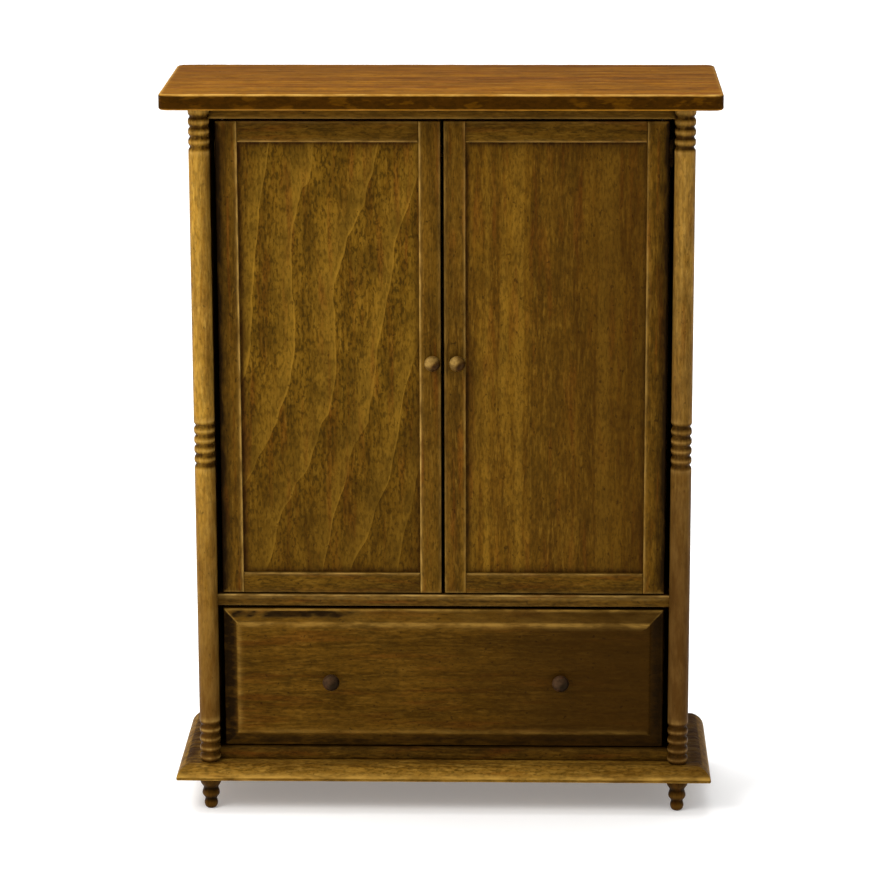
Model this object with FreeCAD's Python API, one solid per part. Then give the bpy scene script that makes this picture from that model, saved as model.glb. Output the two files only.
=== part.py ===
"""Dolls house wardrobe, one twelfth of full size: two framed doors over one wide drawer.

Millimetres. X runs across the width, Y from front (negative) to back, Z up.
The origin is at the middle of the footprint, on the surface that the four feet stand on.
The right-hand pieces are modelled, and the left-hand ones are their mirror images, apart from
the knobs and their holes, which sit a little to the right of that.
"""
import FreeCAD, Part
import math
import os

Vector = FreeCAD.Vector

# ---- overall sizes ----
TOP_WIDTH = 130.0
TOP_DEPTH = 49.5
TOP_THICKNESS = 3.8
BASE_WIDTH = 129.4
BASE_THICKNESS = 3.6
FOOT_HEIGHT = 8.4
CASE_HEIGHT = 160.9              # from the base board up to the top board

# ---- depths, measured back from the top board's front edge ----
COLUMN_SETBACK = 11.2            # to the middle of the columns
BASE_SETBACK = 5.85              # to the base board's front edge
CASE_SETBACK = 12.45             # to the front edges of the case boards
DOOR_SETBACK = 13.1              # to the front of the door frames
DRAWER_SETBACK = 12.15           # to the front of the drawer's raised field

# ---- top and base boards ----
TOP_CORNER_R = 1.0
TOP_UPPER_EDGE_R = 0.6
TOP_LOWER_EDGE_R = 0.35
BASE_MOULD_WIDTH = 3.1
BASE_MOULD_DROP = 2.7
MOULD_START_SLOPE = 12.0         # degrees below level, where the moulding leaves the flat

# ---- case ----
CASE_INNER_WIDTH = 109.4
SIDE_THICKNESS = 3.6
BACK_THICKNESS = 1.6
BACK_REBATE = 1.8
CASE_FLOOR_THICKNESS = 3.0
WARDROBE_FLOOR_BOTTOM = 42.4     # heights in the case are measured from the base board's underside
WARDROBE_FLOOR_THICKNESS = 2.8
TOP_RAIL_HEIGHT = 3.8
TOP_RAIL_DEPTH = 4.0

# ---- columns ----
COLUMN_SPACING = 113.4
COLUMN_R = 2.475
GROOVE_DEPTH = 0.42
GROOVE_PITCH = 2.36
LOWER_GROOVES = 4
MIDDLE_GROOVES = 5
UPPER_GROOVES = 4
LOWER_GROOVE_START = 2.3         # above the foot of the column
MIDDLE_GROOVE_START = 74.55
UPPER_GROOVE_START = 150.85
GROOVE_FLANK = 0.25              # share of the groove's depth left halfway up its flank
GROUP_GAP = 1.5 * GROOVE_PITCH   # grooves closer than this have one ring between them

# ---- feet: (height, radius) down the turning ----
FOOT_TOP_R = 2.85
FOOT_BOWL = (6.5, 2.45)
FOOT_UPPER_NECK = (5.35, 1.8)
FOOT_BEAD = (3.95, 2.13)
FOOT_LOWER_NECK = (2.5, 1.42)
FOOT_BALL = (1.45, 1.65)
FOOT_PAD_R = 0.75
FOOT_PAD_BULGE = 0.28            # how far each curve stands out from the straight line between its ends
FOOT_NECK_BULGE = 0.06
FOOT_SPIGOT_R = 1.0
FOOT_SPIGOT_LENGTH = 2.2
FRONT_FOOT_SETBACK = 11.0
BACK_FOOT_INSET = 6.0            # from the back of the base board

# ---- hanging rail ----
RAIL_R = 1.3
RAIL_HEIGHT = 150.0
RAIL_SETBACK = 31.5
SOCKET_WIDTH = 6.0
SOCKET_HEIGHT = 7.0
SOCKET_THICKNESS = 1.9

# ---- doors ----
DOOR_BOTTOM = 45.55
DOOR_TOP = 160.1
DOOR_OUTER_X = 53.1
DOOR_MEETING_X = 0.4
DOOR_THICKNESS = 3.0
STILE_WIDTH = 5.1
DOOR_RAIL_WIDTH = 5.0
PANEL_RECESS = 0.95
PANEL_THICKNESS = 1.2
GROOVE_IN_FRAME = 1.3
TONGUE = 1.2
HINGE_INSET = 1.65               # from the door's outer edge to the pin's axis
HINGE_PIN_R = 0.5
HINGE_BORE_R = 0.55
PIN_IN_STILE = 5.0
TOP_PIN_REACH = 2.8              # beyond the end of the stile
BOTTOM_PIN_REACH = 2.25

# ---- drawer ----
DRAWER_BOTTOM = 6.95
DRAWER_TOP = 41.5
DRAWER_HALF_WIDTH = 53.1
DRAWER_FRONT_THICKNESS = 3.6
FIELD_MARGIN = 3.2
FIELD_STEP = 0.3
BEVEL_DEPTH = 0.7
LIP_WIDTH = 0.45
DRAWER_SIDE_OUTER_X = 52.4
DRAWER_SIDE_THICKNESS = 2.0
DRAWER_SIDE_GAP = 0.15           # above the case floor
DRAWER_SIDE_TOP = 37.6
DRAWER_BACK_GAP = 0.35           # to the case's back panel
DRAWER_FLOOR_HEIGHT = 8.4
DRAWER_FLOOR_THICKNESS = 1.2
DRAWER_FLOOR_TONGUE = 0.8

# ---- knobs ----
KNOB_SHIFT = 0.6                 # both pairs of knobs were drilled this far to the right
DOOR_KNOB_X = 2.95               # from the middle, before the shift
DOOR_KNOB_HEIGHT = 102.5
DOOR_KNOB_R = 1.9
DRAWER_KNOB_X = 27.7
DRAWER_KNOB_HEIGHT = 23.7
DRAWER_KNOB_R = 2.05
KNOB_PROJECTION = 3.1
KNOB_WIDEST = 0.56               # heights above the face, as shares of the projection
KNOB_CROWN = 0.88
KNOB_FLARE = 0.33
KNOB_NECK = 0.16
KNOB_CROWN_R = 0.72              # radii, as shares of the knob's radius
KNOB_FLARE_R = 0.86
KNOB_NECK_R = 0.52
KNOB_SEAT_R = 0.6
KNOB_SPIGOT_R = 0.7
KNOB_SPIGOT_LENGTH = 2.4
GLUE_GAP = 0.02                  # round a glued spigot or pin

# ---- places worked out from the sizes above ----
FRONT_Y = -TOP_DEPTH / 2
BACK_Y = TOP_DEPTH / 2
COLUMN_Y = FRONT_Y + COLUMN_SETBACK
CASE_Y = FRONT_Y + CASE_SETBACK
DOOR_Y = FRONT_Y + DOOR_SETBACK
FIELD_Y = FRONT_Y + DRAWER_SETBACK
BASE_FRONT_Y = FRONT_Y + BASE_SETBACK
BACK_PANEL_Y = BACK_Y - BACK_THICKNESS
COLUMN_X = COLUMN_SPACING / 2
SIDE_INNER_X = CASE_INNER_WIDTH / 2
SIDE_OUTER_X = SIDE_INNER_X + SIDE_THICKNESS
BASE_TOP_Z = FOOT_HEIGHT + BASE_THICKNESS
CASE_TOP_Z = BASE_TOP_Z + CASE_HEIGHT
HINGE_X = DOOR_OUTER_X - HINGE_INSET
HINGE_Y = DOOR_Y + DOOR_THICKNESS / 2
STILE_INNER_X = DOOR_OUTER_X - STILE_WIDTH
MEETING_INNER_X = DOOR_MEETING_X + STILE_WIDTH


def above_base(height):
    """The Z of a height measured from the base board's underside."""
    return FOOT_HEIGHT + height


def block(x0, x1, y0, y1, z0, z1):
    """A square-edged board between two corners."""
    return Part.makeBox(x1 - x0, y1 - y0, z1 - z0, Vector(x0, y0, z0))


def mirrored(shape):
    """The left-hand copy of a right-hand piece."""
    return shape.mirror(Vector(0, 0, 0), Vector(1, 0, 0))


def turned(edges, base, axis):
    """A full turn of an outline that starts and ends on the axis."""
    face = Part.Face(Part.Wire(edges))
    return face.revolve(base, axis, 360)


def line(start, end):
    return Part.LineSegment(start, end).toShape()


def curve(start, middle, end):
    return Part.Arc(start, middle, end).toShape()


def filled(edges):
    """The flat face inside a closed run of edges, given in any order."""
    return Part.Face(Part.Wire(Part.__sortEdges__(edges)))


def edges_where(shape, test):
    """The edges whose middle point passes the test."""
    return [edge for edge in shape.Edges if test(edge.CenterOfMass, edge)]


def vertical_bore(x, y, z_bottom, depth, radius):
    return Part.makeCylinder(radius, depth, Vector(x, y, z_bottom))


def is_upright(edge):
    direction = edge.tangentAt(edge.FirstParameter)
    return abs(direction.z) > 0.9


# ---- top and base ----
def top_board():
    """The overhanging top, with eased edges and corners."""
    underside = CASE_TOP_Z
    upper = CASE_TOP_Z + TOP_THICKNESS
    board = block(-TOP_WIDTH / 2, TOP_WIDTH / 2, FRONT_Y, BACK_Y, underside, upper)
    board = board.makeFillet(TOP_CORNER_R, edges_where(board, lambda c, e: is_upright(e)))
    rim = edges_where(board, lambda c, e: abs(c.z - upper) < 0.01)
    board = board.makeFillet(TOP_UPPER_EDGE_R, rim)
    rim = edges_where(board, lambda c, e: abs(c.z - underside) < 0.01)
    return board.makeFillet(TOP_LOWER_EDGE_R, rim)


def mould_edges(outer, z_bottom, z_top, inward, place):
    """The moulded edge's section: an upright edge, then a convex arc up to the flat.

    inward is +1 or -1, the way from the edge to the board's middle, and place(u, z)
    makes a point of the section."""
    arris_z = z_top - BASE_MOULD_DROP
    flat_u = outer + inward * BASE_MOULD_WIDTH
    chord = math.hypot(BASE_MOULD_WIDTH, BASE_MOULD_DROP)
    chord_slope = math.atan2(BASE_MOULD_DROP, BASE_MOULD_WIDTH)
    half_turn = chord_slope - math.radians(MOULD_START_SLOPE)
    bulge = chord / 2 * math.tan(half_turn / 2)
    middle_u = (outer + flat_u) / 2 - inward * bulge * math.sin(chord_slope)
    middle_z = (arris_z + z_top) / 2 + bulge * math.cos(chord_slope)
    arris = place(outer, arris_z)
    flat = place(flat_u, z_top)
    return [line(place(outer, z_bottom), arris), curve(arris, place(middle_u, middle_z), flat)], flat


def foot_places():
    """Name and centre of each foot."""
    front = FRONT_Y + FRONT_FOOT_SETBACK
    back = BACK_Y - BACK_FOOT_INSET
    return {
        "front_left_foot": (-COLUMN_X, front),
        "front_right_foot": (COLUMN_X, front),
        "back_left_foot": (-COLUMN_X, back),
        "back_right_foot": (COLUMN_X, back),
    }


def base_board():
    """The base, moulded along its front and both ends, with a hole for each foot's spigot."""
    half = BASE_WIDTH / 2
    bottom = FOOT_HEIGHT

    def across(u, z):
        return Vector(u, BASE_FRONT_Y, z)

    def along(u, z):
        return Vector(-half, u, z)

    left_edges, left_flat = mould_edges(-half, bottom, BASE_TOP_Z, 1, across)
    right_edges, right_flat = mould_edges(half, bottom, BASE_TOP_Z, -1, across)
    section = left_edges + [line(left_flat, right_flat)] + right_edges
    section.append(line(across(-half, bottom), across(half, bottom)))
    ends_moulded = filled(section).extrude(Vector(0, BACK_Y - BASE_FRONT_Y, 0))

    front_edges, front_flat = mould_edges(BASE_FRONT_Y, bottom, BASE_TOP_Z, 1, along)
    back_top = along(BACK_Y, BASE_TOP_Z)
    back_bottom = along(BACK_Y, bottom)
    section = front_edges + [line(front_flat, back_top), line(back_top, back_bottom)]
    section.append(line(along(BASE_FRONT_Y, bottom), back_bottom))
    front_moulded = filled(section).extrude(Vector(BASE_WIDTH, 0, 0))

    board = ends_moulded.common(front_moulded)
    hole_depth = FOOT_SPIGOT_LENGTH + GLUE_GAP
    for x, y in foot_places().values():
        board = board.cut(vertical_bore(x, y, bottom, hole_depth, FOOT_SPIGOT_R + GLUE_GAP))
    return board


def foot(x, y):
    """A turned foot: bowl, bead and ball, with a spigot up into the base board."""
    def at(height_and_radius):
        height, radius = height_and_radius
        return Vector(x + radius, y, height)

    def between(lower, upper, bulge):
        """A point between two others, pushed out by bulge."""
        return Vector(x + (lower[1] + upper[1]) / 2 + bulge, y, (lower[0] + upper[0]) / 2)

    pad = (0.0, FOOT_PAD_R)
    rim = (FOOT_HEIGHT, FOOT_TOP_R)
    spigot_top = FOOT_HEIGHT + FOOT_SPIGOT_LENGTH
    outline = [
        line(Vector(x, y, 0), at(pad)),
        curve(at(pad), between(pad, FOOT_BALL, FOOT_PAD_BULGE), at(FOOT_BALL)),
        curve(at(FOOT_BALL), between(FOOT_BALL, FOOT_LOWER_NECK, FOOT_NECK_BULGE), at(FOOT_LOWER_NECK)),
        curve(at(FOOT_LOWER_NECK), at(FOOT_BEAD), at(FOOT_UPPER_NECK)),
        curve(at(FOOT_UPPER_NECK), at(FOOT_BOWL), at(rim)),
        line(at(rim), Vector(x + FOOT_SPIGOT_R, y, FOOT_HEIGHT)),
        line(Vector(x + FOOT_SPIGOT_R, y, FOOT_HEIGHT), Vector(x + FOOT_SPIGOT_R, y, spigot_top)),
        line(Vector(x + FOOT_SPIGOT_R, y, spigot_top), Vector(x, y, spigot_top)),
        line(Vector(x, y, spigot_top), Vector(x, y, 0)),
    ]
    return turned(outline, Vector(x, y, 0), Vector(0, 0, 1))


# ---- case ----
def side_panel():
    """The right side, rebated along its back edge for the back panel."""
    panel = block(SIDE_INNER_X, SIDE_OUTER_X, CASE_Y, BACK_Y, BASE_TOP_Z, CASE_TOP_Z)
    rebate = block(SIDE_INNER_X, SIDE_INNER_X + BACK_REBATE, BACK_PANEL_Y, BACK_Y, BASE_TOP_Z, CASE_TOP_Z)
    return panel.cut(rebate)


def back_panel():
    half = SIDE_INNER_X + BACK_REBATE
    return block(-half, half, BACK_PANEL_Y, BACK_Y, BASE_TOP_Z, CASE_TOP_Z)


def case_floor():
    """The board under the drawer, whose front edge shows as the bottom rail."""
    top = BASE_TOP_Z + CASE_FLOOR_THICKNESS
    return block(-SIDE_INNER_X, SIDE_INNER_X, CASE_Y, BACK_PANEL_Y, BASE_TOP_Z, top)


def wardrobe_floor():
    """The board between the drawer and the doors, with the lower hinge bores."""
    bottom = above_base(WARDROBE_FLOOR_BOTTOM)
    top = bottom + WARDROBE_FLOOR_THICKNESS
    board = block(-SIDE_INNER_X, SIDE_INNER_X, CASE_Y, BACK_PANEL_Y, bottom, top)
    bore_bottom = above_base(DOOR_BOTTOM) - BOTTOM_PIN_REACH - HINGE_BORE_R + HINGE_PIN_R
    for x in (-HINGE_X, HINGE_X):
        board = board.cut(vertical_bore(x, HINGE_Y, bore_bottom, top - bore_bottom, HINGE_BORE_R))
    return board


def top_rail():
    """The rail over the doors, with the upper hinge bores."""
    bottom = CASE_TOP_Z - TOP_RAIL_HEIGHT
    rail = block(-SIDE_INNER_X, SIDE_INNER_X, CASE_Y, CASE_Y + TOP_RAIL_DEPTH, bottom, CASE_TOP_Z)
    bore_top = above_base(DOOR_TOP) + TOP_PIN_REACH + HINGE_BORE_R - HINGE_PIN_R
    for x in (-HINGE_X, HINGE_X):
        rail = rail.cut(vertical_bore(x, HINGE_Y, bottom, bore_top - bottom, HINGE_BORE_R))
    return rail


# ---- columns ----
def groove_heights():
    """Heights of the turned grooves, from the foot of the column, lowest first."""
    heights = []
    groups = ((LOWER_GROOVE_START, LOWER_GROOVES),
              (MIDDLE_GROOVE_START, MIDDLE_GROOVES),
              (UPPER_GROOVE_START, UPPER_GROOVES))
    for start, count in groups:
        heights += [start + GROOVE_PITCH * step for step in range(count)]
    return heights


def column():
    """The right column: a turned shaft with ringed beads, planed flat where it meets the case."""
    axis_x, axis_y = COLUMN_X, COLUMN_Y
    shoulder = GROOVE_PITCH / 2

    def at(radius, height):
        return Vector(axis_x + radius, axis_y, BASE_TOP_Z + height)

    groove_r = COLUMN_R - GROOVE_DEPTH
    flank_r = COLUMN_R - GROOVE_DEPTH * GROOVE_FLANK
    outline = [line(at(0, 0), at(groove_r, 0))]
    last = 0.0
    for height in groove_heights():
        gap = height - last
        if gap < GROUP_GAP:
            outline.append(curve(at(groove_r, last), at(COLUMN_R, last + gap / 2), at(groove_r, height)))
        else:
            rise = last + shoulder
            fall = height - shoulder
            outline.append(curve(at(groove_r, last), at(flank_r, last + shoulder / 2), at(COLUMN_R, rise)))
            outline.append(line(at(COLUMN_R, rise), at(COLUMN_R, fall)))
            outline.append(curve(at(COLUMN_R, fall), at(flank_r, height - shoulder / 2),
                                 at(groove_r, height)))
        last = height
    rise = last + shoulder
    outline.append(curve(at(groove_r, last), at(flank_r, last + shoulder / 2), at(COLUMN_R, rise)))
    outline.append(line(at(COLUMN_R, rise), at(COLUMN_R, CASE_HEIGHT)))
    outline.append(line(at(COLUMN_R, CASE_HEIGHT), at(0, CASE_HEIGHT)))
    outline.append(line(at(0, CASE_HEIGHT), at(0, 0)))
    shaft = turned(outline, Vector(axis_x, axis_y, 0), Vector(0, 0, 1))
    behind = block(axis_x - 2 * COLUMN_R, axis_x + 2 * COLUMN_R, CASE_Y, CASE_Y + 2 * COLUMN_R,
                   BASE_TOP_Z, CASE_TOP_Z)
    return shaft.cut(behind)


# ---- hanging rail ----
def hanging_rail():
    half = SIDE_INNER_X - GLUE_GAP
    start = Vector(-half, FRONT_Y + RAIL_SETBACK, above_base(RAIL_HEIGHT))
    return Part.makeCylinder(RAIL_R, 2 * half, start, Vector(1, 0, 0))


def rail_socket():
    """The right-hand block that holds the end of the hanging rail."""
    y = FRONT_Y + RAIL_SETBACK
    z = above_base(RAIL_HEIGHT)
    inner = SIDE_INNER_X - SOCKET_THICKNESS
    socket = block(inner, SIDE_INNER_X, y - SOCKET_WIDTH / 2, y + SOCKET_WIDTH / 2,
                   z - SOCKET_HEIGHT / 2, z + SOCKET_HEIGHT / 2)
    bore = Part.makeCylinder(RAIL_R + GLUE_GAP, SOCKET_THICKNESS, Vector(inner, y, z), Vector(1, 0, 0))
    return socket.cut(bore)


# ---- knobs ----
def knob(x, front_y, z, radius):
    """A turned knob: a flared neck, a flattened ball and a spigot into the wood behind."""
    tip = front_y - KNOB_PROJECTION
    spigot_end = front_y + KNOB_SPIGOT_LENGTH

    def at(radial, y):
        return Vector(x + radial, y, z)

    def on_knob(radius_share, height_share):
        return at(radius * radius_share, front_y - KNOB_PROJECTION * height_share)

    widest = on_knob(1.0, KNOB_WIDEST)
    neck = on_knob(KNOB_NECK_R, KNOB_NECK)
    seat = on_knob(KNOB_SEAT_R, 0.0)
    outline = [
        curve(at(0, tip), on_knob(KNOB_CROWN_R, KNOB_CROWN), widest),
        curve(widest, on_knob(KNOB_FLARE_R, KNOB_FLARE), neck),
        line(neck, seat),
        line(seat, at(KNOB_SPIGOT_R, front_y)),
        line(at(KNOB_SPIGOT_R, front_y), at(KNOB_SPIGOT_R, spigot_end)),
        line(at(KNOB_SPIGOT_R, spigot_end), at(0, spigot_end)),
        line(at(0, spigot_end), at(0, tip)),
    ]
    return turned(outline, Vector(x, front_y, z), Vector(0, 1, 0))


def knob_places(from_middle):
    """The X of the left and the right knob of a pair, by side."""
    return {"left": KNOB_SHIFT - from_middle, "right": KNOB_SHIFT + from_middle}


def knob_hole(x, front_y, z):
    """The hole that a knob's spigot is glued into."""
    return Part.makeCylinder(KNOB_SPIGOT_R + GLUE_GAP, KNOB_SPIGOT_LENGTH + GLUE_GAP,
                             Vector(x, front_y, z), Vector(0, 1, 0))


# ---- doors ----
def frame_groove_y():
    """Front and back of the groove that holds the panel."""
    front = DOOR_Y + PANEL_RECESS
    return front, front + PANEL_THICKNESS


def hinge_stile():
    """The right door's outer stile, bored at both ends for the hinge pins."""
    bottom = above_base(DOOR_BOTTOM)
    top = above_base(DOOR_TOP)
    groove_front, groove_back = frame_groove_y()
    stile = block(STILE_INNER_X, DOOR_OUTER_X, DOOR_Y, DOOR_Y + DOOR_THICKNESS, bottom, top)
    stile = stile.cut(block(STILE_INNER_X, STILE_INNER_X + GROOVE_IN_FRAME,
                            groove_front, groove_back, bottom, top))
    for z in (bottom, top - PIN_IN_STILE):
        stile = stile.cut(vertical_bore(HINGE_X, HINGE_Y, z, PIN_IN_STILE, HINGE_PIN_R + GLUE_GAP))
    return stile


def meeting_stile(knob_x):
    """The right door's inner stile, with a hole for a knob."""
    bottom = above_base(DOOR_BOTTOM)
    top = above_base(DOOR_TOP)
    groove_front, groove_back = frame_groove_y()
    stile = block(DOOR_MEETING_X, MEETING_INNER_X, DOOR_Y, DOOR_Y + DOOR_THICKNESS, bottom, top)
    stile = stile.cut(block(MEETING_INNER_X - GROOVE_IN_FRAME, MEETING_INNER_X,
                            groove_front, groove_back, bottom, top))
    return stile.cut(knob_hole(knob_x, DOOR_Y, above_base(DOOR_KNOB_HEIGHT)))


def door_rail(at_top):
    """A cross rail of the right door, with a stub tenon into each stile."""
    if at_top:
        outer_z = above_base(DOOR_TOP)
        inward = -1
    else:
        outer_z = above_base(DOOR_BOTTOM)
        inward = 1
    inner_z = outer_z + inward * DOOR_RAIL_WIDTH
    groove_z = inner_z - inward * GROOVE_IN_FRAME
    groove_front, groove_back = frame_groove_y()
    rail = block(MEETING_INNER_X, STILE_INNER_X, DOOR_Y, DOOR_Y + DOOR_THICKNESS,
                 min(outer_z, inner_z), max(outer_z, inner_z))
    groove = block(MEETING_INNER_X, STILE_INNER_X, groove_front, groove_back,
                   min(groove_z, inner_z), max(groove_z, inner_z))
    tenons = block(MEETING_INNER_X - TONGUE, STILE_INNER_X + TONGUE, groove_front, groove_back,
                   min(outer_z, groove_z), max(outer_z, groove_z))
    return rail.cut(groove).fuse(tenons).removeSplitter()


def door_panel():
    """The thin panel held in the grooves of the right door's frame."""
    groove_front, groove_back = frame_groove_y()
    bottom = above_base(DOOR_BOTTOM) + DOOR_RAIL_WIDTH - TONGUE
    top = above_base(DOOR_TOP) - DOOR_RAIL_WIDTH + TONGUE
    return block(MEETING_INNER_X - TONGUE, STILE_INNER_X + TONGUE, groove_front, groove_back, bottom, top)


def hinge_pins():
    """The two wire pins that the right door turns on, one at each end of its outer stile."""
    bottom = above_base(DOOR_BOTTOM)
    top = above_base(DOOR_TOP)
    lower = vertical_bore(HINGE_X, HINGE_Y, bottom - BOTTOM_PIN_REACH,
                          BOTTOM_PIN_REACH + PIN_IN_STILE - GLUE_GAP, HINGE_PIN_R)
    upper = vertical_bore(HINGE_X, HINGE_Y, top - PIN_IN_STILE + GLUE_GAP,
                          TOP_PIN_REACH + PIN_IN_STILE - GLUE_GAP, HINGE_PIN_R)
    return Part.makeCompound([lower, upper])


def door_pieces():
    """The right door's pieces that are the same on both sides, by the name that follows the side."""
    return {
        "door_hinge_stile": hinge_stile(),
        "door_top_rail": door_rail(True),
        "door_bottom_rail": door_rail(False),
        "door_panel": door_panel(),
        "door_hinge_pins": hinge_pins(),
    }


def knobbed_pieces():
    """Both doors' knobs and the stiles that hold them, by node name."""
    places = knob_places(DOOR_KNOB_X)
    height = above_base(DOOR_KNOB_HEIGHT)
    return {
        "left_door_meeting_stile": mirrored(meeting_stile(-places["left"])),
        "right_door_meeting_stile": meeting_stile(places["right"]),
        "left_door_knob": knob(places["left"], DOOR_Y, height, DOOR_KNOB_R),
        "right_door_knob": knob(places["right"], DOOR_Y, height, DOOR_KNOB_R),
    }


# ---- drawer ----
def rectangle_wire(inset, y):
    """The drawer front's outline, drawn in by inset, as a wire at the depth y."""
    x = DRAWER_HALF_WIDTH - inset
    low = above_base(DRAWER_BOTTOM) + inset
    high = above_base(DRAWER_TOP) - inset
    corners = [Vector(-x, y, low), Vector(x, y, low), Vector(x, y, high), Vector(-x, y, high)]
    return Part.makePolygon(corners + [corners[0]])


def drawer_front():
    """The drawer front: a raised field with a mitred bevel round it, and a thin lip."""
    step_y = FIELD_Y + FIELD_STEP
    lip_y = step_y + BEVEL_DEPTH
    back_y = FIELD_Y + DRAWER_FRONT_THICKNESS
    slab = block(-DRAWER_HALF_WIDTH, DRAWER_HALF_WIDTH, lip_y, back_y,
                 above_base(DRAWER_BOTTOM), above_base(DRAWER_TOP))
    bevel_ends = [rectangle_wire(LIP_WIDTH, lip_y), rectangle_wire(FIELD_MARGIN, step_y)]
    bevel = Part.makeLoft(bevel_ends, True, True)
    field = Part.Face(rectangle_wire(FIELD_MARGIN, FIELD_Y)).extrude(Vector(0, FIELD_STEP, 0))
    front = slab.fuse(bevel).fuse(field).removeSplitter()
    floor_z = above_base(DRAWER_FLOOR_HEIGHT)
    groove_x = DRAWER_SIDE_OUTER_X - DRAWER_SIDE_THICKNESS + DRAWER_FLOOR_TONGUE
    front = front.cut(block(-groove_x, groove_x, back_y - DRAWER_FLOOR_TONGUE, back_y,
                            floor_z, floor_z + DRAWER_FLOOR_THICKNESS))
    for x in knob_places(DRAWER_KNOB_X).values():
        front = front.cut(knob_hole(x, FIELD_Y, above_base(DRAWER_KNOB_HEIGHT)))
    return front


def drawer_side():
    """The right side of the drawer, grooved for its floor."""
    inner = DRAWER_SIDE_OUTER_X - DRAWER_SIDE_THICKNESS
    front = FIELD_Y + DRAWER_FRONT_THICKNESS
    back = BACK_PANEL_Y - DRAWER_BACK_GAP
    bottom = BASE_TOP_Z + CASE_FLOOR_THICKNESS + DRAWER_SIDE_GAP
    floor_z = above_base(DRAWER_FLOOR_HEIGHT)
    side = block(inner, DRAWER_SIDE_OUTER_X, front, back, bottom, above_base(DRAWER_SIDE_TOP))
    return side.cut(block(inner, inner + DRAWER_FLOOR_TONGUE, front, back,
                          floor_z, floor_z + DRAWER_FLOOR_THICKNESS))


def drawer_back():
    """The back of the drawer, which stands on the drawer's floor between its sides."""
    inner = DRAWER_SIDE_OUTER_X - DRAWER_SIDE_THICKNESS
    back = BACK_PANEL_Y - DRAWER_BACK_GAP
    bottom = above_base(DRAWER_FLOOR_HEIGHT) + DRAWER_FLOOR_THICKNESS
    return block(-inner, inner, back - DRAWER_SIDE_THICKNESS, back, bottom, above_base(DRAWER_SIDE_TOP))


def drawer_floor():
    """The thin floor held in grooves in the drawer's front and sides."""
    half = DRAWER_SIDE_OUTER_X - DRAWER_SIDE_THICKNESS + DRAWER_FLOOR_TONGUE
    front = FIELD_Y + DRAWER_FRONT_THICKNESS - DRAWER_FLOOR_TONGUE
    bottom = above_base(DRAWER_FLOOR_HEIGHT)
    return block(-half, half, front, BACK_PANEL_Y - DRAWER_BACK_GAP, bottom, bottom + DRAWER_FLOOR_THICKNESS)


def drawer_pieces():
    """All the drawer's pieces, by node name."""
    side = drawer_side()
    pieces = {
        "drawer_front": drawer_front(),
        "drawer_right_side": side,
        "drawer_left_side": mirrored(side),
        "drawer_back": drawer_back(),
        "drawer_floor": drawer_floor(),
    }
    for name, x in knob_places(DRAWER_KNOB_X).items():
        pieces[f"drawer_{name}_knob"] = knob(x, FIELD_Y, above_base(DRAWER_KNOB_HEIGHT), DRAWER_KNOB_R)
    return pieces


def all_pieces():
    """Every piece of the wardrobe, by node name."""
    pieces = {
        "top_board": top_board(),
        "base_board": base_board(),
        "back_panel": back_panel(),
        "case_floor": case_floor(),
        "wardrobe_floor": wardrobe_floor(),
        "top_rail": top_rail(),
        "hanging_rail": hanging_rail(),
    }
    for name, place in foot_places().items():
        pieces[name] = foot(*place)
    paired = {"side_panel": side_panel(), "column": column(), "rail_socket": rail_socket()}
    paired.update(door_pieces())
    for name, shape in paired.items():
        pieces["right_" + name] = shape
        pieces["left_" + name] = mirrored(shape)
    pieces.update(knobbed_pieces())
    pieces.update(drawer_pieces())
    return pieces


os.makedirs("parts", exist_ok=True)
pieces = all_pieces()
for node, shape in pieces.items():
    shape.exportStep("parts/" + node + ".step")
print(len(pieces), "pieces")
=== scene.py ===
import math
from collections import namedtuple

import bmesh
import bpy
from mathutils import Matrix, Vector, noise


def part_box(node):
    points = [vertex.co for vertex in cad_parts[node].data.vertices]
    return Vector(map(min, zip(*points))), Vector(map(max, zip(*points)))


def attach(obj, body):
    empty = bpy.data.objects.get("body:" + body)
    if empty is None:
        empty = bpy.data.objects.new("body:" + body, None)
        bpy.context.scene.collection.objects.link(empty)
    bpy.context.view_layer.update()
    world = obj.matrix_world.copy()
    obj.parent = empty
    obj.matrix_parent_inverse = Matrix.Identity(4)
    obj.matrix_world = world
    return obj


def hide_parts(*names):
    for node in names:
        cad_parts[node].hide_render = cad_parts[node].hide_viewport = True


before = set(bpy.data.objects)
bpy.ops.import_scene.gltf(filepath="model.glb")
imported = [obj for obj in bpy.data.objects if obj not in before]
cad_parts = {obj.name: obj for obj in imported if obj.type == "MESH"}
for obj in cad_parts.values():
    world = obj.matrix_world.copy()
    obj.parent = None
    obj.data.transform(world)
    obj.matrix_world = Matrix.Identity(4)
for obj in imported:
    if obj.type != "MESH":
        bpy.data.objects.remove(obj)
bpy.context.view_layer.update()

# Lengths in this script are millimetres unless a name says otherwise.
MM = 0.001
SIDES = ("left", "right")

# ---- camera ----
CAMERA_LENS = 148.53
CAMERA_AZIMUTH = 1.55
CAMERA_ELEVATION = 13.967
CAMERA_ROLL = -0.19
CAMERA_TARGET = (-0.488, -13.55, 92.283)
CAMERA_DISTANCE = 863.76

# ---- light and floor, with lengths in metres ----
KEY_PLACE = (-0.30, -0.30, 0.40)
KEY_SIZE = 0.2
KEY_WATTS = 1.5
KEY_COLOUR = (1.0, 0.98, 0.95)
LIGHT_AIM = (0.0, 0.0, 0.09)
OVERHEAD_STRENGTH = 1.9
OVERHEAD_SPREAD = math.radians(50.0)
OVERHEAD_TILT = (math.radians(-12.0), math.radians(-14.0), 0.0)
SKY_STRENGTHS = (0.42, 0.85)   # at the horizon and near the top
SKY_TOP = 0.9                  # how high the upper strength starts
FLOOR_HALF_WIDTH = 6.0
FLOOR_GLOW = 0.2               # a dim light table, so that the floor reads as white

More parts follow.
